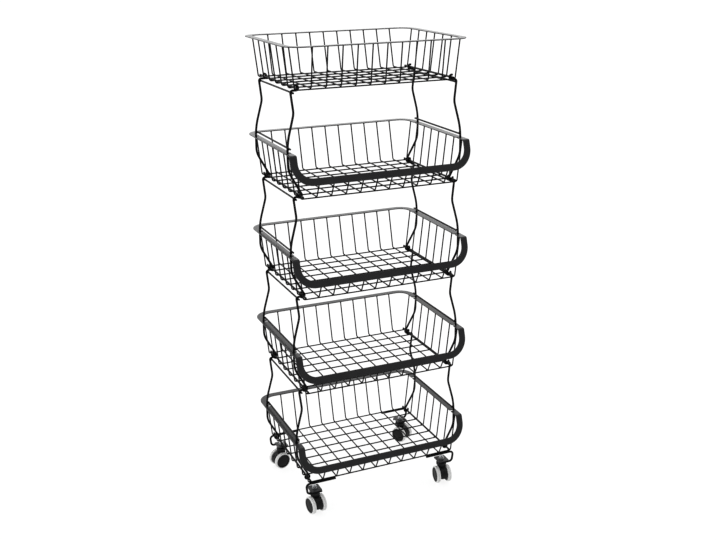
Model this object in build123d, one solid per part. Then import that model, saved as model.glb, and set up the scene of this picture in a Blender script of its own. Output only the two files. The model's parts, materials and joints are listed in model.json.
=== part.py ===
"""Five-tier wire vegetable rack standing on four twin-wheel swivel casters.

Millimetres, +Z up, front towards -Y. The origin is on the floor, under the middle of the rack.
Every basket is a flat rim strip carried by wires bent into a tray: the long wires run from side
to side, the cross wires run from front to back on top of them, and a stouter rod lies on the long
wires inside the bends at each side of the floor. Four baskets have a low front: their rim folds down and
forward into a front rail. Between two baskets stands a pair of leg frames, each of two bent legs
and two crossbars. A leg grips the rod of its own basket with an eye, passes a notch in the rim and
carries the rod of the basket above in a hook.
"""
import math
import os

from build123d import *

# Heights and tiers, from the top down
tier_names = ["top", "upper", "middle", "lower", "bottom"]
tier_pitch = 227.0
bottom_floor_z = 85.0

# Wire stock
wire_d = 3.0
rod_d = 4.5
leg_d = 5.0
bar_d = 4.0
bracket_d = 5.0
wire_bend_r = 5.0
weld_sink = 0.05
cut_round = 0.6

# Basket floors
base_back_y = 120.6
base_depth = 256.0
top_base_step = 19.0
long_wire_count = 8
top_long_wire_count = 7
cross_wire_count = 10
cross_wire_pitch = 34.0
rod_end_over = 2.5

# Rim strips and front rails
rim_width = 426.0
wall_flare = 30.0
back_flare = 43.0
top_front_flare = 31.5
wire_rim_inset = 14.5
rim_strip_w = 16.0
rim_strip_t = 2.0
rim_corner_r = 40.0
rim_edge_round = 0.5
rim_height = 94.0
top_rim_height = 88.5
fold_gap = 2.75
fold_r = 3.0
rail_drop = 54.0
rail_tilt = 18.0
rail_corner_r = 48.0

# Leg frames
leg_inset = 22.5
leg_splay = 3.0
leg_rim_inset = 6.5
leg_knee_drop = 25.0
leg_knee_r = 50.0
leg_sway_run = 35.0
leg_waist_out = 7.5
leg_waist_drop = 50.0
leg_waist_r = 40.0
leg_top_out = 12.0
leg_top_bend_r = 5.0
eye_clear = 0.3
eye_end_angle = 35.0
hook_wrap = 205.0
notch_clear = 0.3
bar_overhang = 5.5
low_bar_gap = 7.0

# Caster brackets, plates, stems, washers and nuts
bracket_reach = 74.5
bracket_out = 6.5
bracket_drop = 26.0
bracket_lean = 3.5
bracket_bend_r = 8.0
arm_out = 1.8
plate_w = 28.0
plate_d = 30.0
plate_t = 2.0
plate_corner_r = 3.0
stem_d = 6.0
stem_hole_clear = 0.2
stem_collar_d = 12.0
stem_collar_t = 5.0
stem_depth = 18.0
stem_above_nut = 3.0
washer_d = 12.0
washer_t = 1.6
nut_flats = 10.0
nut_t = 5.0
nut_chamfer = 0.8

# Casters
wheel_d = 42.0
wheel_w = 9.5
wheel_gap = 0.8
tread_t = 3.0
tread_round = 2.5
tread_groove_w = 1.2
tread_groove_depth = 0.8
hub_inset = 0.4
hub_rim_w = 3.0
hub_recess = 1.0
hub_dome = 1.3
hub_edge_round = 0.8
hood_w = 17.0
hood_inset = 0.5
hood_round = 3.0
hood_floor_gap = 16.5
hood_slot_w = 3.5
hood_slot_l = 6.0
hood_slot_depth = 1.2
hood_slot_angle = 35.0
neck_d = 18.0
neck_flare = 2.0
cup_d = 25.0
cup_h = 8.0
cup_round = 2.0
swivel_gap = 0.5
stem_clear = 0.05
bore_spare = 1.0
caster_trail = 6.0
axle_d = 6.0
axle_clear = 0.05
axle_cap = 2.5
axle_end_gap = 0.4
caster_turns = {"front_left": 8.0, "front_right": -7.5, "back_left": -79.0, "back_right": 30.0}

# Sizes that follow: baskets
base_front_y = base_back_y - base_depth
top_base_depth = base_depth - top_base_step
rim_half = rim_width / 2
rim_back_y = base_back_y + back_flare
top_rim_front_y = base_back_y - top_base_depth - top_front_flare
rod_x = rim_half - wall_flare
foot_x = rod_x + wire_bend_r
wire_lift = wire_d - weld_sink
rod_lift = (wire_d + rod_d) / 2 - weld_sink
strip_mid_x = rim_half - rim_strip_w / 2
wire_end_x = rim_half - wire_rim_inset
cut_size = 2 * (rim_width + tier_pitch)

# Sizes that follow: the front rail's plane, its face looking out and its Y running up the face
fold_start_y = base_front_y - wire_d / 2 - fold_gap
fold_turn = 90.0 - rail_tilt
rail_out = (0, -math.sin(math.radians(fold_turn)), math.cos(math.radians(fold_turn)))
rail_top_y = fold_start_y + fold_r * rail_out[1]
rail_top_z = fold_r * (rail_out[2] - 1)
rail_plane = Plane(origin=(0, rail_top_y, rail_top_z), x_dir=(1, 0, 0), z_dir=rail_out)
rail_mid = (rail_drop + rail_top_z) / math.cos(math.radians(rail_tilt))

# Sizes that follow: leg frames
leg_spacing = base_depth - 2 * leg_inset
leg_centre_y = base_back_y - base_depth / 2
leg_rim_x = rim_half - leg_rim_inset
splay_angle = math.degrees(math.atan2(2 * leg_splay, tier_pitch))
leg_length = tier_pitch / math.cos(math.radians(splay_angle))
eye_r = (rod_d + leg_d) / 2 + eye_clear
bar_off = (leg_d + bar_d) / 2 - weld_sink

# Sizes that follow: casters, whose bracket arm lies against the floor's end wire
arm_drop = math.sqrt(((wire_d + bracket_d) / 2) ** 2 - arm_out ** 2)
arm_z = bottom_floor_z - arm_drop
low_arm_z = arm_z - bracket_drop
bracket_outer_x = foot_x + bracket_out
bracket_low_x = bracket_outer_x - bracket_lean
caster_x = bracket_low_x - bracket_bend_r - plate_w / 2
plate_z = low_arm_z + bracket_d / 2
collar_z = plate_z - stem_collar_t
hood_top_z = collar_z - swivel_gap
washer_z = plate_z + plate_t
nut_z = washer_z + washer_t
stem_top_z = nut_z + nut_t + stem_above_nut
axle_z = wheel_d / 2
wheel_x = hood_w / 2 + wheel_gap
wheel_end_x = wheel_x + wheel_w
axle_end_x = wheel_end_x - axle_cap
hub_r = wheel_d / 2 - tread_t


def round_bar(path, diameter):
    """Sweeps a round section of the given diameter along a path."""
    return sweep(Plane(origin=path @ 0, z_dir=path % 0) * Circle(diameter / 2), path=path)


def dulled(bar):
    """A bar with the sharp rims of its two cut ends rounded off."""
    ends = bar.faces().filter_by(GeomType.PLANE)
    return fillet(ends.edges(), cut_round)


def straight_rod(start, end, diameter):
    """A straight round rod between two points, with dull ends."""
    return dulled(round_bar(Line(start, end), diameter))


def above(z):
    """A block that holds everything over a height, to cut with."""
    return Pos(0, 0, z + cut_size / 2) * Box(cut_size, cut_size, cut_size)


def ahead_of_rail():
    """A block that holds everything in front of the rail's back face, to cut with."""
    return rail_plane * Pos(0, 0, cut_size / 2) * Box(cut_size, cut_size, cut_size)


def over_end(inner, outer, extra):
    """The end of a line drawn past its outer point, so that a cut can finish it."""
    run, rise = outer[0] - inner[0], outer[1] - inner[1]
    share = 1 + extra / math.hypot(run, rise)
    return inner[0] + run * share, inner[1] + rise * share


def long_wire(height):
    """One side-to-side wire in the plane Y = 0, its floor on Z = 0 and its ends under the rim."""
    end_x, end_z = over_end((foot_x, 0), (wire_end_x, height), 2 * wire_d)
    path = FilletPolyline(
        (-end_x, 0, end_z), (-foot_x, 0, 0), (foot_x, 0, 0), (end_x, 0, end_z), radius=wire_bend_r)
    return round_bar(path, wire_d) - above(height)


def cross_wire(height, front_foot_y, front_end, cutter):
    """One front-to-back wire in the plane X = 0, lying on the long wires, with its front end cut to fit."""
    back_foot_y = base_back_y + wire_bend_r
    back_end = (rim_back_y - wire_rim_inset, height)
    back_y, back_z = over_end((back_foot_y, wire_lift), back_end, 2 * wire_d)
    front_y, front_z = over_end((front_foot_y, wire_lift), front_end, 2 * wire_d)
    path = FilletPolyline(
        (0, back_y, back_z), (0, back_foot_y, wire_lift), (0, front_foot_y, wire_lift), (0, front_y, front_z),
        radius=wire_bend_r)
    return round_bar(path, wire_d) - above(height) - cutter


def wire_rows(wire, places):
    """Copies of a wire at each place, as separate solids."""
    return Compound(children=[Pos(*place) * wire for place in places])


def side_rods(front_y):
    """The two rods that lie on the long wires, inside their bends."""
    start, end = front_y - rod_end_over, base_back_y + rod_end_over
    return Compound(children=[
        straight_rod((side * rod_x, start, rod_lift), (side * rod_x, end, rod_lift), rod_d)
        for side in (-1, 1)])


def leg_y_at(height):
    """How far a leg stands from the frame's middle, at a height over its rod."""
    return leg_spacing / 2 + leg_splay - height * 2 * leg_splay / tier_pitch


def notches(height):
    """The four slots that the legs pass through, open to the inside of the rim."""
    reach = 2 * rim_strip_w - leg_rim_inset
    slot = Circle(leg_d / 2 + notch_clear) + Pos(-reach / 2, 0) * Rectangle(reach, leg_d + 2 * notch_clear)
    leg_y = leg_y_at(height - rod_lift + rim_strip_t / 2)
    right = [Pos(leg_rim_x, leg_centre_y + end * leg_y) * slot for end in (-1, 1)]
    left = [Pos(-leg_rim_x, leg_centre_y + end * leg_y) * Rot(0, 0, 180) * slot for end in (-1, 1)]
    return right + left


def rim_outline(front_y, inset):
    """The rim's plan from a front line to the back, drawn in by an inset at the sides and back."""
    width, back_y = rim_width - 2 * inset, rim_back_y - inset
    return Pos(0, (front_y + back_y) / 2) * Rectangle(width, back_y - front_y)


def closed_rim():
    """The top basket's rim: one flat strip all the way round."""
    outer = rim_outline(top_rim_front_y, 0)
    inner = rim_outline(top_rim_front_y + rim_strip_w, rim_strip_w)
    outer = fillet(outer.vertices(), rim_corner_r)
    inner = fillet(inner.vertices(), rim_corner_r - rim_strip_w)
    strip = extrude(outer - inner, rim_strip_t)
    return fillet(strip.edges(), rim_edge_round)


def open_rim(height):
    """A lower basket's rim: a flat strip round three sides that folds down into the front rail."""
    outer = rim_outline(fold_start_y, 0)
    inner = rim_outline(fold_start_y - rim_strip_w, rim_strip_w)
    outer = fillet(outer.vertices().group_by(Axis.Y)[-1], rim_corner_r)
    inner = fillet(inner.vertices().group_by(Axis.Y)[-1], rim_corner_r - rim_strip_w)
    flat = extrude(outer - inner - notches(height), rim_strip_t)
    end = Plane(origin=(0, fold_start_y, 0), x_dir=(1, 0, 0), z_dir=(0, -1, 0))
    hinge = Axis((0, fold_start_y, -fold_r), (1, 0, 0))
    section = Rectangle(rim_strip_w, rim_strip_t)
    ends = [end * Pos(side * strip_mid_x, rim_strip_t / 2) * section for side in (-1, 1)]
    folds = [revolve(strip_end, hinge, fold_turn) for strip_end in ends]
    depth = rail_mid + rim_strip_w / 2
    window_w, window_depth = rim_width - 2 * rim_strip_w, depth - rim_strip_w
    face = Pos(0, -depth / 2) * Rectangle(rim_width, depth)
    window = Pos(0, -window_depth / 2) * Rectangle(window_w, window_depth)
    face = fillet(face.vertices().group_by(Axis.Y)[0], rail_corner_r)
    window = fillet(window.vertices().group_by(Axis.Y)[0], rail_corner_r - rim_strip_w)
    rail = extrude(rail_plane * (face - window), rim_strip_t)
    strip = flat + folds + rail
    return fillet(strip.edges(), rim_edge_round)


def cross_run(first, first_r, second, second_r, hand):
    """The straight run between two bends that turn opposite ways, as its two ends in the plane Y = 0.

    Hand is 1 where the first bend's centre is on the right of the run, and -1 where it is on the left.
    """
    run, rise = second[0] - first[0], second[1] - first[1]
    heading = math.atan2(rise, run) - hand * math.asin((first_r + second_r) / math.hypot(run, rise))
    left_x, left_z = -hand * math.sin(heading), hand * math.cos(heading)
    return (
        Vector(first[0] + first_r * left_x, 0, first[1] + first_r * left_z),
        Vector(second[0] - second_r * left_x, 0, second[1] - second_r * left_z))


def upright(centre):
    """The upright plane of an eye or hook, about its centre."""
    return Plane(origin=(centre[0], 0, centre[1]), x_dir=(1, 0, 0), z_dir=(0, -1, 0))


def leg_frame():
    """A right-hand frame about its own middle, with the rod that it grips on Z = 0.

    A leg runs from its eye up to a knee, straight past the rim, in to a waist under the next basket
    and out to a bend, from which it runs in and hooks round the next rod. The low crossbar runs a little
    over the rim strip and the high one in the hollow of the top bend.
    """
    knee_x, rim_z = leg_rim_x - leg_knee_r, rim_height - rod_lift + rim_strip_t / 2
    knee_z = rim_z - leg_knee_drop
    waist_x, waist_z = rod_x + leg_waist_out, leg_length - leg_waist_drop
    inset, climb = leg_rim_x - waist_x, waist_z - rim_z
    rim_r = (inset ** 2 + climb ** 2 - leg_sway_run ** 2) / (2 * inset) - leg_waist_r
    rim_bend_at, waist_at = (leg_rim_x - rim_r, rim_z), (waist_x + leg_waist_r, waist_z)
    eye_at, hook_at = (rod_x, eye_clear), (rod_x, leg_length + eye_clear)
    top_z = hook_at[1] - eye_r
    bend_at = (rod_x + leg_top_out - leg_top_bend_r, top_z - leg_top_bend_r)

    foot, knee_start = cross_run(eye_at, eye_r, (knee_x, knee_z), leg_knee_r, 1)
    sway_start, sway_end = cross_run(rim_bend_at, rim_r, waist_at, leg_waist_r, -1)
    rise_start, rise_end = cross_run(waist_at, leg_waist_r, bend_at, leg_top_bend_r, 1)
    foot_angle = math.degrees(math.atan2(foot.Z - eye_at[1], foot.X - eye_at[0]))
    rim_low, rim_high = Vector(leg_rim_x, 0, knee_z), Vector(leg_rim_x, 0, rim_z)
    bend_end = Vector(bend_at[0], 0, top_z)
    path = Wire([
        upright(eye_at) * CenterArc((0, 0), eye_r, eye_end_angle, foot_angle - 360 - eye_end_angle),
        Line(foot, knee_start),
        TangentArc(knee_start, rim_low, tangent=knee_start - foot),
        Line(rim_low, rim_high),
        TangentArc(rim_high, sway_start, tangent=(0, 0, 1)),
        Line(sway_start, sway_end),
        TangentArc(sway_end, rise_start, tangent=sway_end - sway_start),
        Line(rise_start, rise_end),
        TangentArc(rise_end, bend_end, tangent=rise_end - rise_start),
        Line(bend_end, (rod_x, 0, top_z)),
        upright(hook_at) * CenterArc((0, 0), eye_r, 270, -hook_wrap)])
    leg = dulled(round_bar(path, leg_d))
    legs = [Pos(0, end * leg_y_at(0), 0) * Rot(end * splay_angle, 0, 0) * leg for end in (-1, 1)]

    low_z = rim_height - rod_lift + rim_strip_t + low_bar_gap + bar_d / 2
    low_x = rim_bend_at[0] + math.sqrt(rim_r ** 2 - (low_z - rim_z) ** 2) - bar_off
    high_z = bend_at[1] * tier_pitch / leg_length
    high_x = bend_at[0] + leg_top_bend_r - bar_off
    bars = []
    for bar_x, height in ((low_x, low_z), (high_x, high_z)):
        start, end = -leg_y_at(height) - leg_d / 2, leg_y_at(height) + bar_overhang
        bars.append(straight_rod((bar_x, start, height), (bar_x, end, height), bar_d))
    return Compound(children=legs + bars)


def export_baskets():
    """Writes the rim, wires and rods of every basket."""
    cross_xs = [(i - (cross_wire_count - 1) / 2) * cross_wire_pitch for i in range(cross_wire_count)]
    for tier, name in enumerate(tier_names):
        is_top = tier == 0
        floor_z = bottom_floor_z + tier_pitch * (len(tier_names) - 1 - tier)
        height = top_rim_height if is_top else rim_height
        depth = top_base_depth if is_top else base_depth
        rows = top_long_wire_count if is_top else long_wire_count
        front_y = base_back_y - depth
        long_ys = [front_y + i * depth / (rows - 1) for i in range(rows)]
        if is_top:
            rim = closed_rim()
            front_end, cutter = (top_rim_front_y + wire_rim_inset, height), []
        else:
            rim = open_rim(height)
            rail_middle = rail_plane.from_local_coords((0, -rail_mid, 0))
            front_end = (rail_middle.Y, height + rail_middle.Z)
            cutter = Pos(0, 0, height) * ahead_of_rail()
        pieces = {
            "rim_strip": Pos(0, 0, height) * rim,
            "long_wires": wire_rows(long_wire(height), [(0, y, 0) for y in long_ys]),
            "cross_wires": wire_rows(
                cross_wire(height, front_y - wire_bend_r, front_end, cutter), [(x, 0, 0) for x in cross_xs]),
            "side_rods": side_rods(front_y)}
        for kind, solid in pieces.items():
            export_step(Pos(0, 0, floor_z) * solid, f"parts/{name}_basket_{kind}.step")


def export_leg_frames():
    """Writes the pair of leg frames that stands on every basket but the top one."""
    frame = leg_frame()
    for tier, name in enumerate(tier_names[1:], start=1):
        floor_z = bottom_floor_z + tier_pitch * (len(tier_names) - 1 - tier)
        place = Pos(0, leg_centre_y, floor_z + rod_lift)
        export_step(place * frame, f"parts/{name}_right_leg_frame.step")
        export_step(place * Rot(0, 0, 180) * frame, f"parts/{name}_left_leg_frame.step")


def bracket():
    """A right-hand bracket wire in the plane Y = 0: along the floor wire, down at the corner and back in."""
    path = FilletPolyline(
        (bracket_outer_x - bracket_reach, 0, arm_z), (bracket_outer_x, 0, arm_z),
        (bracket_low_x, 0, low_arm_z), (caster_x - plate_w / 2, 0, low_arm_z), radius=bracket_bend_r)
    return dulled(round_bar(path, bracket_d))


def plate():
    """A caster plate about its own stem hole."""
    outline = RectangleRounded(plate_w, plate_d, plate_corner_r) - Circle(stem_d / 2 + stem_hole_clear)
    return Pos(0, 0, plate_z) * extrude(outline, plate_t)


def stem():
    """The fixed stem that the caster turns on, with the collar that bears under the plate."""
    collar = Pos(0, 0, collar_z) * extrude(Circle(stem_collar_d / 2), stem_collar_t)
    pin_z = hood_top_z - stem_depth
    return collar + Pos(0, 0, pin_z) * extrude(Circle(stem_d / 2), stem_top_z - pin_z)


def washer():
    """The washer between a plate and its nut."""
    outline = Circle(washer_d / 2) - Circle(stem_d / 2 + stem_hole_clear)
    return Pos(0, 0, washer_z) * extrude(outline, washer_t)


def nut():
    """The hexagon nut that holds the stem on its plate."""
    body = extrude(RegularPolygon(nut_flats / 2, 6, major_radius=False), nut_t)
    crown = extrude(Circle(nut_flats / math.sqrt(3)), nut_t)
    crown = chamfer(crown.edges().filter_by(GeomType.CIRCLE), nut_chamfer)
    return Pos(0, 0, nut_z) * ((body & crown) - extrude(Circle(stem_d / 2), nut_t))


def hood():
    """The moulded body between a caster's wheels, about the axis that it turns on, trailing towards -Y."""
    body_r = wheel_d / 2 - hood_inset
    body = extrude(Plane.YZ * Circle(body_r), hood_w / 2, both=True)
    body = fillet(body.edges().filter_by(GeomType.CIRCLE), hood_round)
    slot = Box(hood_slot_w, 2 * hood_slot_depth, hood_slot_l)
    body -= Rot(-hood_slot_angle, 0, 0) * Pos(0, -body_r, 0) * slot
    body = Pos(0, -caster_trail, axle_z) * body
    neck_h = hood_top_z - axle_z
    neck = Cone(neck_d / 2 + neck_flare, neck_d / 2, neck_h) & Box(hood_w, 2 * wheel_d, neck_h)
    neck = Pos(0, 0, axle_z + neck_h / 2) * neck
    cup = Pos(0, 0, hood_top_z - cup_h) * extrude(Circle(cup_d / 2), cup_h)
    cup = fillet(cup.edges().filter_by(GeomType.CIRCLE), cup_round)
    under = Pos(0, 0, hood_floor_gap - wheel_d / 2) * Box(2 * wheel_d, 2 * wheel_d, wheel_d)
    bore_depth = stem_depth + bore_spare
    bore = Pos(0, 0, hood_top_z - bore_depth / 2) * Cylinder(stem_d / 2 + stem_clear, bore_depth)
    return body + neck + cup - under - bore - axle()


def axle():
    """The pin that carries a caster's two wheels."""
    return Pos(0, -caster_trail, axle_z) * extrude(Plane.YZ * Circle(axle_d / 2), axle_end_x, both=True)


def hub():
    """A right-hand wheel hub with a raised rim round a low dome, bored from its inner face."""
    inner, outer = wheel_x + hub_inset, wheel_end_x - hub_inset
    dome_edge_x, dome_edge_r = outer - hub_recess, hub_r - hub_rim_w
    dome_r = (dome_edge_r ** 2 + hub_dome ** 2) / (2 * hub_dome)
    dome_top_x = dome_edge_x + hub_dome
    dome = CenterArc((dome_top_x - dome_r, 0), dome_r, 0, math.degrees(math.asin(dome_edge_r / dome_r)))
    edge = Polyline(
        (dome_edge_x, dome_edge_r), (outer, dome_edge_r), (outer, hub_r), (inner, hub_r), (inner, 0),
        (dome_top_x, 0))
    disc = revolve(make_face(dome.edges() + edge.edges()), Axis.X)
    disc = fillet(disc.edges().filter_by(GeomType.CIRCLE).group_by(Axis.X)[-1], hub_edge_round)
    bore_depth = axle_end_x + axle_end_gap - inner
    bore = Plane.YZ.offset(inner) * extrude(Circle(axle_d / 2 + axle_clear), bore_depth)
    return Pos(0, -caster_trail, axle_z) * (disc - bore)


def tread():
    """The soft ring round a right-hand wheel hub, with a shallow groove round its middle."""
    tyre = Plane.YZ.offset(wheel_x) * extrude(Circle(wheel_d / 2), wheel_w)
    tyre = fillet(tyre.edges().filter_by(GeomType.CIRCLE), tread_round)
    groove = Circle(wheel_d / 2 + tread_groove_depth) - Circle(wheel_d / 2 - tread_groove_depth)
    groove_x = wheel_x + (wheel_w - tread_groove_w) / 2
    tyre -= Plane.YZ.offset(groove_x) * extrude(groove, tread_groove_w)
    return Pos(0, -caster_trail, axle_z) * (tyre - Plane.YZ.offset(wheel_x) * extrude(Circle(hub_r), wheel_w))


def export_casters():
    """Writes the brackets, plates, stems, washers, nuts and casters of all four corners."""
    right_wheel = {"hub": hub(), "tread": tread()}
    left_wheel = {kind: mirror(solid, Plane.YZ) for kind, solid in right_wheel.items()}
    shared = {"plates": plate(), "stems": stem(), "washers": washer(), "stem_nuts": nut()}
    sets = {kind: [] for kind in shared}
    for corner, turn in caster_turns.items():
        side = -1 if corner.endswith("left") else 1
        end = -1 if corner.startswith("front") else 1
        arm_y = (base_front_y if end < 0 else base_back_y) + end * arm_out
        caster_y = arm_y + end * (bracket_d - plate_d) / 2
        arm = bracket() if side > 0 else mirror(bracket(), Plane.YZ)
        export_step(Pos(0, arm_y, 0) * arm, f"parts/{corner}_caster_bracket.step")
        place = Pos(side * caster_x, caster_y, 0)
        for kind, solid in shared.items():
            sets[kind].append(place * solid)
        turned = place * Rot(0, 0, turn)
        export_step(turned * hood(), f"parts/{corner}_caster_hood.step")
        export_step(turned * axle(), f"parts/{corner}_caster_axle.step")
        for hand, wheel in (("right", right_wheel), ("left", left_wheel)):
            for kind, solid in wheel.items():
                export_step(turned * solid, f"parts/{corner}_caster_{hand}_wheel_{kind}.step")
    for kind, solids in sets.items():
        export_step(Compound(children=solids), f"parts/caster_{kind}.step")


os.makedirs("parts", exist_ok=True)
export_baskets()
export_leg_frames()
export_casters()
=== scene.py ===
"""Looks of a black wire vegetable rack: powder-coated baskets and leg frames on grey-tyred twin casters.

Metres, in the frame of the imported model: +Z up, front towards -Y, origin on the floor under the rack.
"""

import json
import logging
import math
from contextlib import contextmanager
from dataclasses import dataclass
from enum import Enum
from typing import Any, Callable, Iterator, Mapping, Union

import bmesh
import bpy
from mathutils import Matrix, Vector


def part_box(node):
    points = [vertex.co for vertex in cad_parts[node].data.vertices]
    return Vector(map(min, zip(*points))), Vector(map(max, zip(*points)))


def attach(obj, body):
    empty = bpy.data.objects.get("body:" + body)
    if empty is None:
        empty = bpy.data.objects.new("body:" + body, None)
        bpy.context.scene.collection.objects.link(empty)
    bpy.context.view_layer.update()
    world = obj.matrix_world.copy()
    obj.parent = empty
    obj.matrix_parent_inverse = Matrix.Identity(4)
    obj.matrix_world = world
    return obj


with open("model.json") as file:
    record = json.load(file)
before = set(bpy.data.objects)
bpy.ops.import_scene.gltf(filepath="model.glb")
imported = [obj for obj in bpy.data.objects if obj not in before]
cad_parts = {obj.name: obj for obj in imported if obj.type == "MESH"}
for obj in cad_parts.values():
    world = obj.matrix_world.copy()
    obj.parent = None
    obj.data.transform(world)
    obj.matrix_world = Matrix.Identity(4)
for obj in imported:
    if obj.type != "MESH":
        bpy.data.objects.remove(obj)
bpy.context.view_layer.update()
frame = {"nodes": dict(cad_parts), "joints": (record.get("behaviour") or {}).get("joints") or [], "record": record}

log = logging.getLogger("rack")
MM = 0.001
WHITE = (1, 1, 1, 1)

Number = Union[int, float]


def evenly(first: float, last: float, count: int) -> list[float]:
    """Evenly spaced places from first to last."""
    return [first + (last - first) * index / (count - 1) for index in range(count)]


class Shade:
    """One shader socket that takes part in Python expressions."""

    def __init__(self, graph: "Graph", socket: bpy.types.NodeSocket) -> None:
        """Wraps a socket of a graph.

        Args:
            graph: The node graph that new Math nodes go to.
            socket: The output socket that this value comes from.
        """
        self.graph = graph
        self.socket = socket

    def _join(self, operation: str, first: Union["Shade", Number], second: Union["Shade", Number]) -> "Shade":
        """Adds one Math node.

        Args:
            operation: The Math node's operation.
            first: The first operand.
            second: The second operand.

        Returns:
            The node's result.
        """
        return self.graph.add("ShaderNodeMath", {"operation": operation}, {0: first, 1: second})

    def __add__(self, other: Union["Shade", Number]) -> "Shade":
        """This value plus another."""
        return self._join("ADD", self, other)

    def __radd__(self, other: Number) -> "Shade":
        """A number plus this value."""
        return self._join("ADD", other, self)

    def __sub__(self, other: Union["Shade", Number]) -> "Shade":
        """This value less another."""
        return self._join("SUBTRACT", self, other)

    def __mul__(self, other: Union["Shade", Number]) -> "Shade":
        """This value times another."""
        return self._join("MULTIPLY", self, other)


class Graph:
    """A node tree: of one material, ending in a Principled shader, or of the sky."""

    @classmethod
    def of_tree(cls, tree: bpy.types.NodeTree) -> "Graph":
        """Wraps a tree that already has its output.

        Args:
            tree: The node tree.

        Returns:
            The graph of the tree, without a material or a shader of its own.
        """
        graph = cls.__new__(cls)
        graph.tree = tree
        return graph

    def __init__(self, name: str) -> None:
        """Makes an empty material with its output and shader.

        Args:
            name: The material's name.
        """
        self.material = bpy.data.materials.new(name)
        self.material.use_nodes = True
        self.tree = self.material.node_tree
        self.tree.nodes.clear()
        self.shader = self.tree.nodes.new("ShaderNodeBsdfPrincipled")
        output = self.tree.nodes.new("ShaderNodeOutputMaterial")
        self.tree.links.new(self.shader.outputs["BSDF"], output.inputs["Surface"])

    def add(self, kind: str, settings: Mapping[str, Any], sockets: Mapping[Union[str, int], Any],
            output: Union[str, int] = 0) -> Shade:
        """Adds a node of any kind.

        Args:
            kind: The node's type.
            settings: Properties of the node, set before its sockets.
            sockets: Values or links of its input sockets.
            output: Which output to hand back.

        Returns:
            The chosen output.
        """
        node = self.tree.nodes.new(kind)
        for key, value in settings.items():
            setattr(node, key, value)
        for key, value in sockets.items():
            self._feed(node.inputs[key], value)
        return Shade(self, node.outputs[output])

    def _feed(self, socket: bpy.types.NodeSocket, value: Any) -> None:
        """Links a shade to a socket, or sets its plain value.

        Args:
            socket: The input socket.
            value: A shade or a plain value.
        """
        if isinstance(value, Shade):
            self.tree.links.new(value.socket, socket)
        else:
            socket.default_value = value

    def clamp(self, value: Shade) -> Shade:
        """A value held between 0 and 1."""
        return self.add("ShaderNodeClamp", {}, {"Value": value})

    def place(self) -> Shade:
        """The point on the piece, in metres of its own frame."""
        return self.add("ShaderNodeTexCoord", {}, {}, "Object")

    def noise(self, grain: float, detail: float) -> Shade:
        """Even noise from 0 to 1.

        Args:
            grain: Size of its blotches in metres.
            detail: Octaves of finer noise.

        Returns:
            The noise value.
        """
        sockets = {"Vector": self.place(), "Scale": 1 / grain, "Detail": detail}
        return self.add("ShaderNodeTexNoise", {}, sockets)

    def blend(self, factor: Shade, first: tuple, second: tuple) -> Shade:
        """A colour between two colours.

        Args:
            factor: Share of the second colour.
            first: Colour at 0.
            second: Colour at 1.

        Returns:
            The mixed colour.
        """
        return self.add("ShaderNodeMix", {"data_type": "RGBA"}, {0: factor, 6: first, 7: second}, 2)

    def bump(self, height: Shade, depth: float) -> Shade:
        """A normal from a height.

        Args:
            height: Height from 0 to 1.
            depth: Depth in metres that a height of 1 stands for.

        Returns:
            The bent normal.
        """
        return self.add("ShaderNodeBump", {}, {"Strength": 1.0, "Distance": depth, "Height": height})

    def surface(self, **sockets: Any) -> bpy.types.Material:
        """Feeds the shader and hands the material back.

        Args:
            **sockets: Shader inputs, with an underscore for each space in their names.

        Returns:
            The finished material.
        """
        for key, value in sockets.items():
            self._feed(self.shader.inputs[key.replace("_", " ")], value)
        return self.material


@dataclass(frozen=True)
class Finish:
    """What all of the rack's finishes share: a clouded colour and gloss over a fine relief.

    The size of the clouds, and the size and depth of the relief, are in metres.
    """

    name: str
    dark: tuple
    pale: tuple
    roughness: float
    roughness_spread: float
    cloud: float
    cloud_detail: float
    relief: float
    relief_detail: float
    relief_depth: float
    gloss: float = 0.5
    metallic: float = 0.0

    def material(self) -> bpy.types.Material:
        """Builds the finish.

        Returns:
            The material.
        """
        graph = Graph(self.name)
        cloud = graph.noise(self.cloud, self.cloud_detail)
        relief = graph.noise(self.relief, self.relief_detail)
        rough = self.roughness + (cloud - 0.5) * self.roughness_spread
        return graph.surface(
            Base_Color=graph.blend(cloud, self.dark, self.pale), Metallic=self.metallic, Roughness=rough,
            Specular_IOR_Level=self.gloss, Normal=graph.bump(relief, self.relief_depth))


@dataclass(frozen=True)
class PaintedLighterPowderCoat(Finish):
    """Satin black powder coat, with the fine orange peel of baked powder, its colour painted lighter than the
    wires' copy of the same coat: a painted sheen for the strips' and plates' flat faces.
    """

    name: str = "black_powder_coat"
    dark: tuple = (0.03, 0.03, 0.0315, 1)
    pale: tuple = (0.043, 0.043, 0.0445, 1)
    roughness: float = 0.28
    roughness_spread: float = 0.12
    cloud: float = 30 * MM
    cloud_detail: float = 3.0
    relief: float = 0.9 * MM
    relief_detail: float = 1.0
    relief_depth: float = 0.03 * MM
    gloss: float = 0.2


@dataclass(frozen=True)
class PaintedDarkerWireCoat(PaintedLighterPowderCoat):
    """The wires' copy of the same powder coat, painted blacker as painted shade and made duller, so that thin
    wires keep their contrast on a pale ground.
    """

    name: str = "black_wire_coat"
    dark: tuple = (0.003, 0.003, 0.0033, 1)
    pale: tuple = (0.007, 0.007, 0.0075, 1)
    roughness: float = 0.42
    gloss: float = 0.12


@dataclass(frozen=True)
class MouldedPlastic(Finish):
    """Black moulded plastic with a fine spark-eroded grain."""

    name: str = "black_moulded_plastic"
    dark: tuple = (0.008, 0.008, 0.0085, 1)
    pale: tuple = (0.014, 0.014, 0.0145, 1)
    roughness: float = 0.42
    roughness_spread: float = 0.1
    cloud: float = 9 * MM
    cloud_detail: float = 2.0
    relief: float = 0.35 * MM
    relief_detail: float = 2.0
    relief_depth: float = 0.02 * MM
    gloss: float = 0.25


@dataclass(frozen=True)
class HubPlastic(MouldedPlastic):
    """The duller plastic of the wheels' hubs."""

    name: str = "black_hub_plastic"
    roughness: float = 0.5


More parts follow.
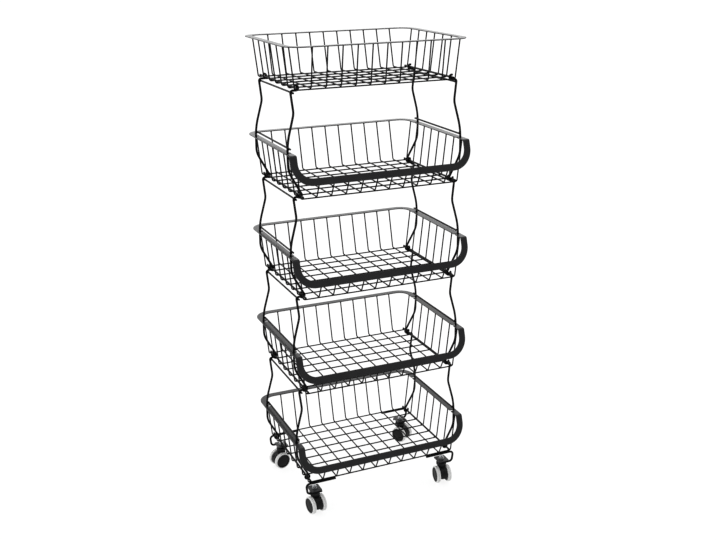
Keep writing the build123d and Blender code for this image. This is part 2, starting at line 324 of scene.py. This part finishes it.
@dataclass(frozen=True)
class SoftTread(Finish):
    """Pale grey soft rubber of the wheels."""

    name: str = "grey_tread_rubber"
    dark: tuple = (0.68, 0.68, 0.675, 1)
    pale: tuple = (0.76, 0.76, 0.755, 1)
    roughness: float = 0.55
    roughness_spread: float = 0.14
    cloud: float = 6 * MM
    cloud_detail: float = 3.0
    relief: float = 0.5 * MM
    relief_detail: float = 1.0
    relief_depth: float = 0.02 * MM


@dataclass(frozen=True)
class ZincPlate(Finish):
    """Bright zinc plate on turned steel."""

    name: str = "bright_zinc"
    dark: tuple = (0.50, 0.51, 0.52, 1)
    pale: tuple = (0.66, 0.67, 0.68, 1)
    roughness: float = 0.3
    roughness_spread: float = 0.16
    cloud: float = 3 * MM
    cloud_detail: float = 3.0
    relief: float = 0.4 * MM
    relief_detail: float = 2.0
    relief_depth: float = 0.012 * MM
    metallic: float = 1.0


class Tier(Enum):
    """The baskets, from the top down."""

    TOP = "top"
    UPPER = "upper"
    MIDDLE = "middle"
    LOWER = "lower"
    BOTTOM = "bottom"

    @property
    def above(self) -> "Tier":
        """The basket that stands on this one's leg frames."""
        order = list(Tier)
        return order[order.index(self) - 1]


class Side(Enum):
    """The two sides of the rack, by the sign of X."""

    LEFT = -1
    RIGHT = 1


class Corner(Enum):
    """The four casters, by the signs of X and Y."""

    FRONT_LEFT = (-1, -1)
    FRONT_RIGHT = (1, -1)
    BACK_LEFT = (-1, 1)
    BACK_RIGHT = (1, 1)


class Bench:
    """Modelling moves on one piece at a time, with Blender's own operators."""

    @staticmethod
    @contextmanager
    def editing(piece: bpy.types.Object) -> Iterator[None]:
        """Opens a piece in edit mode with all of it selected, and closes it again.

        Args:
            piece: The mesh to edit.
        """
        bpy.context.view_layer.objects.active = piece
        bpy.ops.object.mode_set(mode="EDIT")
        bpy.ops.mesh.select_all(action="SELECT")
        yield
        bpy.ops.object.mode_set(mode="OBJECT")

    @staticmethod
    def pick(piece: bpy.types.Object, test: Callable[[Vector], bool]) -> None:
        """Selects the faces of an open piece by their place.

        Args:
            piece: The mesh in edit mode.
            test: Says of a face's middle whether it is picked.
        """
        bpy.ops.mesh.select_all(action="DESELECT")
        mesh = bmesh.from_edit_mesh(piece.data)
        for face in mesh.faces:
            face.select_set(test(face.calc_center_median()))
        bmesh.update_edit_mesh(piece.data)

    @staticmethod
    def spread(shape: bpy.types.Object, places: list[Matrix], name: str) -> bpy.types.Object:
        """Copies a shape to its places, each copy with its own mesh, and joins the copies to one piece.

        Args:
            shape: The shape, modelled about the origin. It is used up.
            places: Where the copies go.
            name: The piece's name.

        Returns:
            The piece, at the origin with its places in its mesh.
        """
        bpy.ops.object.select_all(action="DESELECT")
        for place in places:
            copy = shape.copy()
            copy.data = shape.data.copy()
            bpy.context.collection.objects.link(copy)
            copy.matrix_world = place
            copy.select_set(True)
            bpy.context.view_layer.objects.active = copy
        bpy.data.objects.remove(shape)
        bpy.ops.object.transform_apply(location=True, rotation=True, scale=True)
        bpy.ops.object.join()
        piece = bpy.context.object
        piece.name = name
        return piece

    @staticmethod
    def fit(piece: bpy.types.Object, finish: bpy.types.Material, slot: str, body: str) -> None:
        """Turns a piece's faces outwards, shades it smooth, dresses it and lets it ride on its body.

        Args:
            piece: The finished mesh.
            finish: Its material.
            slot: The record's slot that the finish belongs to; not used.
            body: The body that it rides on.
        """
        with Bench.editing(piece):
            bpy.ops.mesh.normals_make_consistent(inside=False)
        bpy.ops.object.select_all(action="DESELECT")
        piece.select_set(True)
        bpy.ops.object.shade_smooth()
        piece.data.materials.clear()
        piece.data.materials.append(finish)
        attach(piece, body)
        log.info("made %s with %d faces", piece.name, len(piece.data.polygons))


@dataclass(frozen=True)
class Nugget:
    """The pressed bead where two crossing wires are spot welded: a lens with a swollen waist."""

    radius: float
    height: float
    waist: float = 1.18
    waist_band: float = 0.2
    segments: int = 8
    rings: int = 6

    def build(self) -> bpy.types.Object:
        """Models one bead about the origin.

        Returns:
            The bead.
        """
        bpy.ops.object.select_all(action="DESELECT")
        bpy.ops.mesh.primitive_uv_sphere_add(
            segments=self.segments, ring_count=self.rings, radius=self.radius)
        bead = bpy.context.object
        flat = self.height / (2 * self.radius)
        with Bench.editing(bead):
            bpy.ops.transform.resize(value=(1, 1, flat))
            Bench.pick(bead, lambda middle: abs(middle.z) < self.waist_band * self.height)
            bpy.ops.transform.resize(value=(self.waist, self.waist, 1))
        return bead


@dataclass(frozen=True)
class Collar:
    """The fillet of weld metal where a wire's cut end meets a strip: wide, hollow, then narrow."""

    foot: float
    neck: float
    height: float
    hollow: float = 0.6
    sides: int = 10

    def build(self) -> bpy.types.Object:
        """Models one fillet that stands on the origin and rises along +Z.

        Returns:
            The fillet.
        """
        bpy.ops.object.select_all(action="DESELECT")
        bpy.ops.mesh.primitive_circle_add(vertices=self.sides, radius=self.foot, fill_type="NGON")
        collar = bpy.context.object
        middle = self.foot + self.hollow * (self.neck - self.foot)
        with Bench.editing(collar):
            for radius, last in ((middle, self.foot), (self.neck, middle)):
                bpy.ops.mesh.extrude_region_move(TRANSFORM_OT_translate={"value": (0, 0, self.height / 2)})
                share = radius / last
                bpy.ops.transform.resize(value=(share, share, 1))
        return collar


@dataclass(frozen=True)
class Bead:
    """A short arc-weld bead along X, with the ripples of its solidified puddles."""

    length: float
    width: float
    ripples: int = 4
    rings_per_ripple: int = 4
    dip: float = 0.84
    sides: int = 10

    def build(self) -> bpy.types.Object:
        """Models one bead about the origin.

        Returns:
            The bead.
        """
        bpy.ops.object.select_all(action="DESELECT")
        rings = self.rings_per_ripple * self.ripples
        bpy.ops.mesh.primitive_uv_sphere_add(
            segments=self.sides, ring_count=rings, radius=self.width / 2, rotation=(0, math.pi / 2, 0))
        bead = bpy.context.object
        bpy.ops.object.transform_apply(location=False, rotation=True, scale=False)
        step = self.length / self.ripples
        with Bench.editing(bead):
            bpy.ops.transform.resize(value=(self.length / self.width, 1, 1))
            Bench.pick(bead, lambda middle: abs((middle.x + self.length) % step - step / 2) > step / 4)
            bpy.ops.transform.resize(value=(1, self.dip, self.dip))
        return bead


@dataclass
class Basket:
    """One basket: where its packed wires, rods and rim lie, and the welds that join them."""

    tier: Tier
    wire_d: float = 3.0 * MM
    rod_d: float = 4.5 * MM
    strip_w: float = 16.0 * MM
    strip_t: float = 2.0 * MM
    rim_inset: float = 14.5 * MM
    rail_drop: float = 54.0 * MM
    rail_tilt: float = 18.0
    wire_count: int = 8
    top_wire_count: int = 7
    cross_count: int = 10
    floor_bead_r: float = 1.86 * MM
    floor_bead_h: float = 1.2 * MM
    rod_bead_r: float = 2.7 * MM
    rod_bead_h: float = 2.55 * MM
    rim_fillet_foot: float = 2.1 * MM
    rim_fillet_neck: float = 1.59 * MM
    rim_fillet_h: float = 1.8 * MM

    def __post_init__(self) -> None:
        """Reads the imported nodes' boxes and works the wires' places out."""
        self.name = f"{self.tier.value}_basket"
        half = self.wire_d / 2
        long_low, long_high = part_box(f"{self.name}_long_wires")
        cross_low, cross_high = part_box(f"{self.name}_cross_wires")
        rod_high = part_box(f"{self.name}_side_rods")[1]
        self.rim_low, self.rim_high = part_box(f"{self.name}_rim_strip")
        count = self.top_wire_count if self.tier is Tier.TOP else self.wire_count
        self.ys = evenly(long_low[1] + half, long_high[1] - half, count)
        self.xs = evenly(cross_low[0] + half, cross_high[0] - half, self.cross_count)
        self.floor_z = long_low[2] + half
        self.rod_x = rod_high[0] - self.rod_d / 2
        self.rod_z = rod_high[2] - self.rod_d / 2
        self.under_rim_z = self.rim_high[2] - self.strip_t

    def build(self, finishes: "Finishes") -> None:
        """Models the basket's welds and dresses them.

        Args:
            finishes: The rack's finishes.
        """
        for piece in (self._floor_welds(), self._rod_welds(), self._rim_welds()):
            Bench.fit(piece, finishes.wire, "black_steel", "rack")

    def _floor_welds(self) -> bpy.types.Object:
        """Models a bead at every crossing of the floor's wires.

        Returns:
            The beads as one piece.
        """
        bead = Nugget(radius=self.floor_bead_r, height=self.floor_bead_h).build()
        level = self.floor_z + self.wire_d / 2
        places = [Matrix.Translation((x, y, level)) for x in self.xs for y in self.ys]
        return Bench.spread(bead, places, f"{self.name}_floor_welds")

    def _rod_welds(self) -> bpy.types.Object:
        """Models a stouter bead where every side rod lies on a long wire.

        Returns:
            The beads as one piece.
        """
        bead = Nugget(radius=self.rod_bead_r, height=self.rod_bead_h, segments=12, rings=8).build()
        level = self.floor_z + self.wire_d / 2
        places = [Matrix.Translation((side.value * self.rod_x, y, level)) for side in Side for y in self.ys]
        return Bench.spread(bead, places, f"{self.name}_rod_welds")

    def _rim_welds(self) -> bpy.types.Object:
        """Models a fillet round every wire's end, under the rim strip and behind the front rail.

        Returns:
            The fillets as one piece.
        """
        collar = Collar(self.rim_fillet_foot, self.rim_fillet_neck, self.rim_fillet_h).build()
        down = Matrix.Rotation(math.pi, 4, "X")
        wire_x = self.rim_high[0] - self.rim_inset
        places = [
            Matrix.Translation((side.value * wire_x, y, self.under_rim_z)) @ down
            for side in Side for y in self.ys]
        back_y = self.rim_high[1] - self.rim_inset
        places += [Matrix.Translation((x, back_y, self.under_rim_z)) @ down for x in self.xs]
        if self.tier is Tier.TOP:
            front_y, front_z, turn = self.rim_low[1] + self.rim_inset, self.under_rim_z, down
        else:
            tilt = math.radians(self.rail_tilt)
            front_y = self.rim_low[1] + self.strip_w / 2 * math.sin(tilt) + self.strip_t * math.cos(tilt)
            front_z = self.under_rim_z - self.rail_drop
            turn = Matrix.Rotation(-math.pi / 2 - tilt, 4, "X")
        places += [Matrix.Translation((x, front_y, front_z)) @ turn for x in self.xs]
        return Bench.spread(collar, places, f"{self.name}_rim_welds")


@dataclass
class LegFrame:
    """One bent-wire leg frame, with the weld beads of its crossbars."""

    basket: Basket
    upper: Basket
    side: Side
    leg_d: float = 5.0 * MM
    bar_d: float = 4.0 * MM
    rim_inset: float = 6.5 * MM
    low_bar_gap: float = 7.0 * MM
    top_out: float = 12.0 * MM
    top_bend_drop: float = 9.75 * MM
    spacing: float = 211.0 * MM
    splay: float = 3.0 * MM
    bead_length: float = 6.0 * MM
    bead_width: float = 2.8 * MM

    def build(self, finishes: "Finishes") -> None:
        """Models the frame's weld beads and dresses them.

        Args:
            finishes: The rack's finishes.
        """
        low_x = self.basket.rim_high[0] - self.rim_inset - self.leg_d / 2
        low_z = self.basket.rim_high[2] + self.low_bar_gap + self.bar_d / 2
        high_x = self.basket.rod_x + self.top_out - self.leg_d / 2
        high_z = self.upper.rod_z - self.top_bend_drop
        middle = (self.basket.ys[0] + self.basket.ys[-1]) / 2
        rise = self.upper.rod_z - self.basket.rod_z
        upright = Matrix.Rotation(math.pi / 2, 4, "Y")
        places = []
        for x, z in ((low_x, low_z), (high_x, high_z)):
            reach = self.spacing / 2 + self.splay - 2 * self.splay * (z - self.basket.rod_z) / rise
            for end in (-1, 1):
                for face in (-1, 1):
                    y = middle + end * reach + face * self.bead_width / 2
                    places.append(Matrix.Translation((self.side.value * x, y, z)) @ upright)
        bead = Bead(length=self.bead_length, width=self.bead_width).build()
        name = f"{self.basket.tier.value}_{self.side.name.lower()}_leg_frame_welds"
        Bench.fit(Bench.spread(bead, places, name), finishes.wire, "black_steel", "rack")


@dataclass
class CasterMount:
    """What fastens one caster: the welds of its bracket and plate, and the thread of its stem."""

    corner: Corner
    basket: Basket
    bracket_d: float = 5.0 * MM
    bracket_out: float = 1.8 * MM
    stem_d: float = 6.0 * MM
    thread_pitch: float = 1.0 * MM
    thread_depth: float = 0.3 * MM
    thread_length: float = 3.0 * MM
    thread_sides: int = 3
    thread_steps: int = 24
    bead_width: float = 2.2 * MM
    bead_length: float = 9.0 * MM
    arm_beads: int = 3

    def __post_init__(self) -> None:
        """Reads where the corner's plate, stem and bracket are."""
        self.name = self.corner.name.lower()
        end = self.corner.value[1]
        joint = next(row for row in frame["joints"] if row["name"] == f"{self.name}_swivel")
        self.stem = Vector(joint["pos_m"])
        self.stem_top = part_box("caster_stems")[1][2]
        self.plate_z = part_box("caster_plates")[0][2]
        self.arm_low, self.arm_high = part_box(f"{self.name}_caster_bracket")
        self.end_y = self.basket.ys[0 if end < 0 else -1]

    def build(self, finishes: "Finishes") -> None:
        """Models the welds and the thread and dresses them.

        Args:
            finishes: The rack's finishes.
        """
        Bench.fit(self._welds(), finishes.wire, "black_steel", "rack")
        Bench.fit(self._thread(), finishes.zinc, "zinc_steel", "rack")

    def _welds(self) -> bpy.types.Object:
        """Models the beads between the bracket's arms and the floor wire and plate.

        The beads on the upper arm stay one bead's length clear of its free end and two of its bent end.

        Returns:
            The beads as one piece.
        """
        side, end = self.corner.value
        wire_r = self.basket.wire_d / 2
        drop = math.sqrt((wire_r + self.bracket_d / 2) ** 2 - self.bracket_out ** 2)
        share = wire_r / (wire_r + self.bracket_d / 2)
        arm_y = self.end_y + end * self.bracket_out
        touch_y = self.end_y + end * self.bracket_out * share
        touch_z = self.basket.floor_z - drop * share
        left_gap, right_gap = (2, 1) if side < 0 else (1, 2)
        first = self.arm_low[0] + left_gap * self.bead_length
        last = self.arm_high[0] - right_gap * self.bead_length
        places = [Matrix.Translation((x, touch_y, touch_z)) for x in evenly(first, last, self.arm_beads)]
        for face in (-1, 1):
            groove_y = arm_y + face * self.bracket_d / 4
            places.append(Matrix.Translation((self.stem.x, groove_y, self.plate_z - self.bead_width / 4)))
        bead = Bead(length=self.bead_length, width=self.bead_width).build()
        return Bench.spread(bead, places, f"{self.name}_bracket_welds")

    def _thread(self) -> bpy.types.Object:
        """Models the thread on the stem's end, above its nut.

        Returns:
            The thread.
        """
        bpy.ops.object.select_all(action="DESELECT")
        bpy.ops.mesh.primitive_circle_add(
            vertices=self.thread_sides, radius=self.thread_depth, location=(self.stem_d / 2, 0, 0),
            rotation=(math.pi / 2, 0, 0))
        thread = bpy.context.object
        bpy.ops.object.transform_apply(location=True, rotation=True, scale=True)
        screw = thread.modifiers.new("thread", "SCREW")
        screw.screw_offset = self.thread_pitch
        screw.iterations = int((self.thread_length - 2 * self.thread_depth) / self.thread_pitch)
        screw.steps = self.thread_steps
        screw.render_steps = self.thread_steps
        bpy.ops.object.modifier_apply(modifier=screw.name)
        with Bench.editing(thread):
            bpy.ops.mesh.fill_holes(sides=self.thread_sides)
        lowest = self.stem_top - self.thread_length + self.thread_depth
        place = Matrix.Translation((self.stem.x, self.stem.y, lowest))
        return Bench.spread(thread, [place], f"{self.name}_stem_thread")


@dataclass(frozen=True)
class PhotoCamera:
    """The camera at the photograph's viewing angle."""

    place: tuple = (-0.8959, -2.0672, 1.2984)
    yaw: float = 23.47
    pitch: float = -18.6
    roll: float = -0.49
    lens: float = 50.26
    sensor: float = 36.0

    def build(self) -> bpy.types.Object:
        """Adds the camera and makes it the scene's own.

        Returns:
            The camera.
        """
        yaw, pitch, roll = (math.radians(angle) for angle in (self.yaw, self.pitch, self.roll))
        ahead = Vector((math.sin(yaw) * math.cos(pitch), math.cos(yaw) * math.cos(pitch), math.sin(pitch)))
        level = Vector((math.cos(yaw), -math.sin(yaw), 0))
        upright = level.cross(ahead)
        right = math.cos(roll) * level + math.sin(roll) * upright
        up = math.cos(roll) * upright - math.sin(roll) * level
        bpy.ops.object.camera_add()
        camera = bpy.context.object
        camera.name = "photo_camera"
        camera.data.lens = self.lens
        camera.data.sensor_width = self.sensor
        turn = Matrix((right, up, -ahead)).transposed().to_4x4()
        camera.matrix_world = Matrix.Translation(self.place) @ turn
        bpy.context.scene.camera = camera
        return camera


@dataclass(frozen=True)
class Studio:
    """A light-table floor under a soft sky, bright overhead and behind the rack and dim in front of it.

    The floor glows nearly white by itself, so that the rack throws only a faint shadow.
    """

    gamma: float = 0.8
    floor_size: float = 60.0
    floor_colour: tuple = (0.13, 0.13, 0.13, 1)
    floor_roughness: float = 0.9
    glow: float = 0.89
    dim: float = 0.3
    bright: float = 1.75
    level: float = 0.42
    rise: float = 0.5
    depth: float = 0.5

    def build(self) -> None:
        """Sets how the picture is toned, then adds the sky and the floor."""
        view = bpy.context.scene.view_settings
        view.view_transform = "Standard"
        view.gamma = self.gamma
        self._sky()
        self._floor()

    def _sky(self) -> None:
        """Makes the sky from its brightness by direction."""
        world = bpy.data.worlds.new("studio")
        bpy.context.scene.world = world
        world.use_nodes = True
        graph = Graph.of_tree(world.node_tree)
        way = graph.add("ShaderNodeTexCoord", {}, {}, "Generated")
        ahead, up = (graph.add("ShaderNodeSeparateXYZ", {}, {0: way}, axis) for axis in "YZ")
        share = graph.clamp(self.level + up * self.rise + ahead * self.depth)
        strength = self.dim + share * (self.bright - self.dim)
        sky = world.node_tree.nodes["Background"]
        sky.inputs["Color"].default_value = WHITE
        world.node_tree.links.new(strength.socket, sky.inputs["Strength"])

    def _floor(self) -> None:
        """Adds the floor, which isn't part of the object."""
        bpy.ops.mesh.primitive_plane_add(size=self.floor_size)
        floor = bpy.context.object
        floor.name = "studio_floor"
        graph = Graph("pale_floor")
        lit = graph.surface(
            Base_Color=self.floor_colour, Roughness=self.floor_roughness, Specular_IOR_Level=0.0,
            Emission_Color=WHITE, Emission_Strength=self.glow)
        floor.data.materials.append(lit)


@dataclass(frozen=True)
class Finishes:
    """The rack's finishes: one for each material slot of the record, and for strips and plates a lighter copy of
    the black coat, painted lighter as a painted sheen.
    """

    strip: bpy.types.Material
    wire: bpy.types.Material
    zinc: bpy.types.Material
    hood: bpy.types.Material
    hub: bpy.types.Material
    tread: bpy.types.Material

    @classmethod
    def build(cls) -> "Finishes":
        """Builds every finish once.

        Returns:
            The finishes.
        """
        # The wires take a blacker copy of the black coat as painted shade, the strips and plates a lighter copy as
        # a painted sheen.
        return cls(
            strip=PaintedLighterPowderCoat().material(), wire=PaintedDarkerWireCoat().material(), zinc=ZincPlate().material(),
            hood=MouldedPlastic().material(), hub=HubPlastic().material(), tread=SoftTread().material())

    def of_node(self, node: str, slot: str) -> bpy.types.Material:
        """The finish of a CAD node.

        Args:
            node: The node's name.
            slot: The record's material slot of the node.

        Returns:
            The slot's material, or for a strip or a plate the lighter copy of the black coat, painted lighter as a
            painted sheen.
        """
        # Strips and plates take the black coat painted lighter, as a painted sheen.
        if node.endswith(("rim_strip", "plates")):
            return self.strip
        by_slot = {"black_steel": self.wire, "zinc_steel": self.zinc, "caster_plastic": self.hood,
                   "hub_plastic": self.hub, "tread_rubber": self.tread}
        return by_slot[slot]


def dress_nodes(finishes: Finishes) -> None:
    """Gives every CAD node its finish.

    Args:
        finishes: The rack's finishes.
    """
    for row in frame["record"]["subparts"]:
        node = frame["nodes"][row["node"]]
        node.data.materials.clear()
        node.data.materials.append(finishes.of_node(row["node"], row["material_slot"]))
        log.info("dressed %s as %s", row["node"], row["material_slot"])


def main() -> None:
    """Dresses the rack, adds its welds and threads, then sets the studio and the camera."""
    logging.basicConfig(level=logging.INFO, format="%(message)s")
    bpy.ops.object.select_all(action="DESELECT")
    finishes = Finishes.build()
    dress_nodes(finishes)
    baskets = {tier: Basket(tier) for tier in Tier}
    for tier, basket in baskets.items():
        basket.build(finishes)
        if tier is not Tier.TOP:
            for side in Side:
                LegFrame(basket, baskets[tier.above], side).build(finishes)
    for corner in Corner:
        CasterMount(corner, baskets[Tier.BOTTOM]).build(finishes)
    Studio().build()
    PhotoCamera().build()


if __name__ == "__main__":
    main()
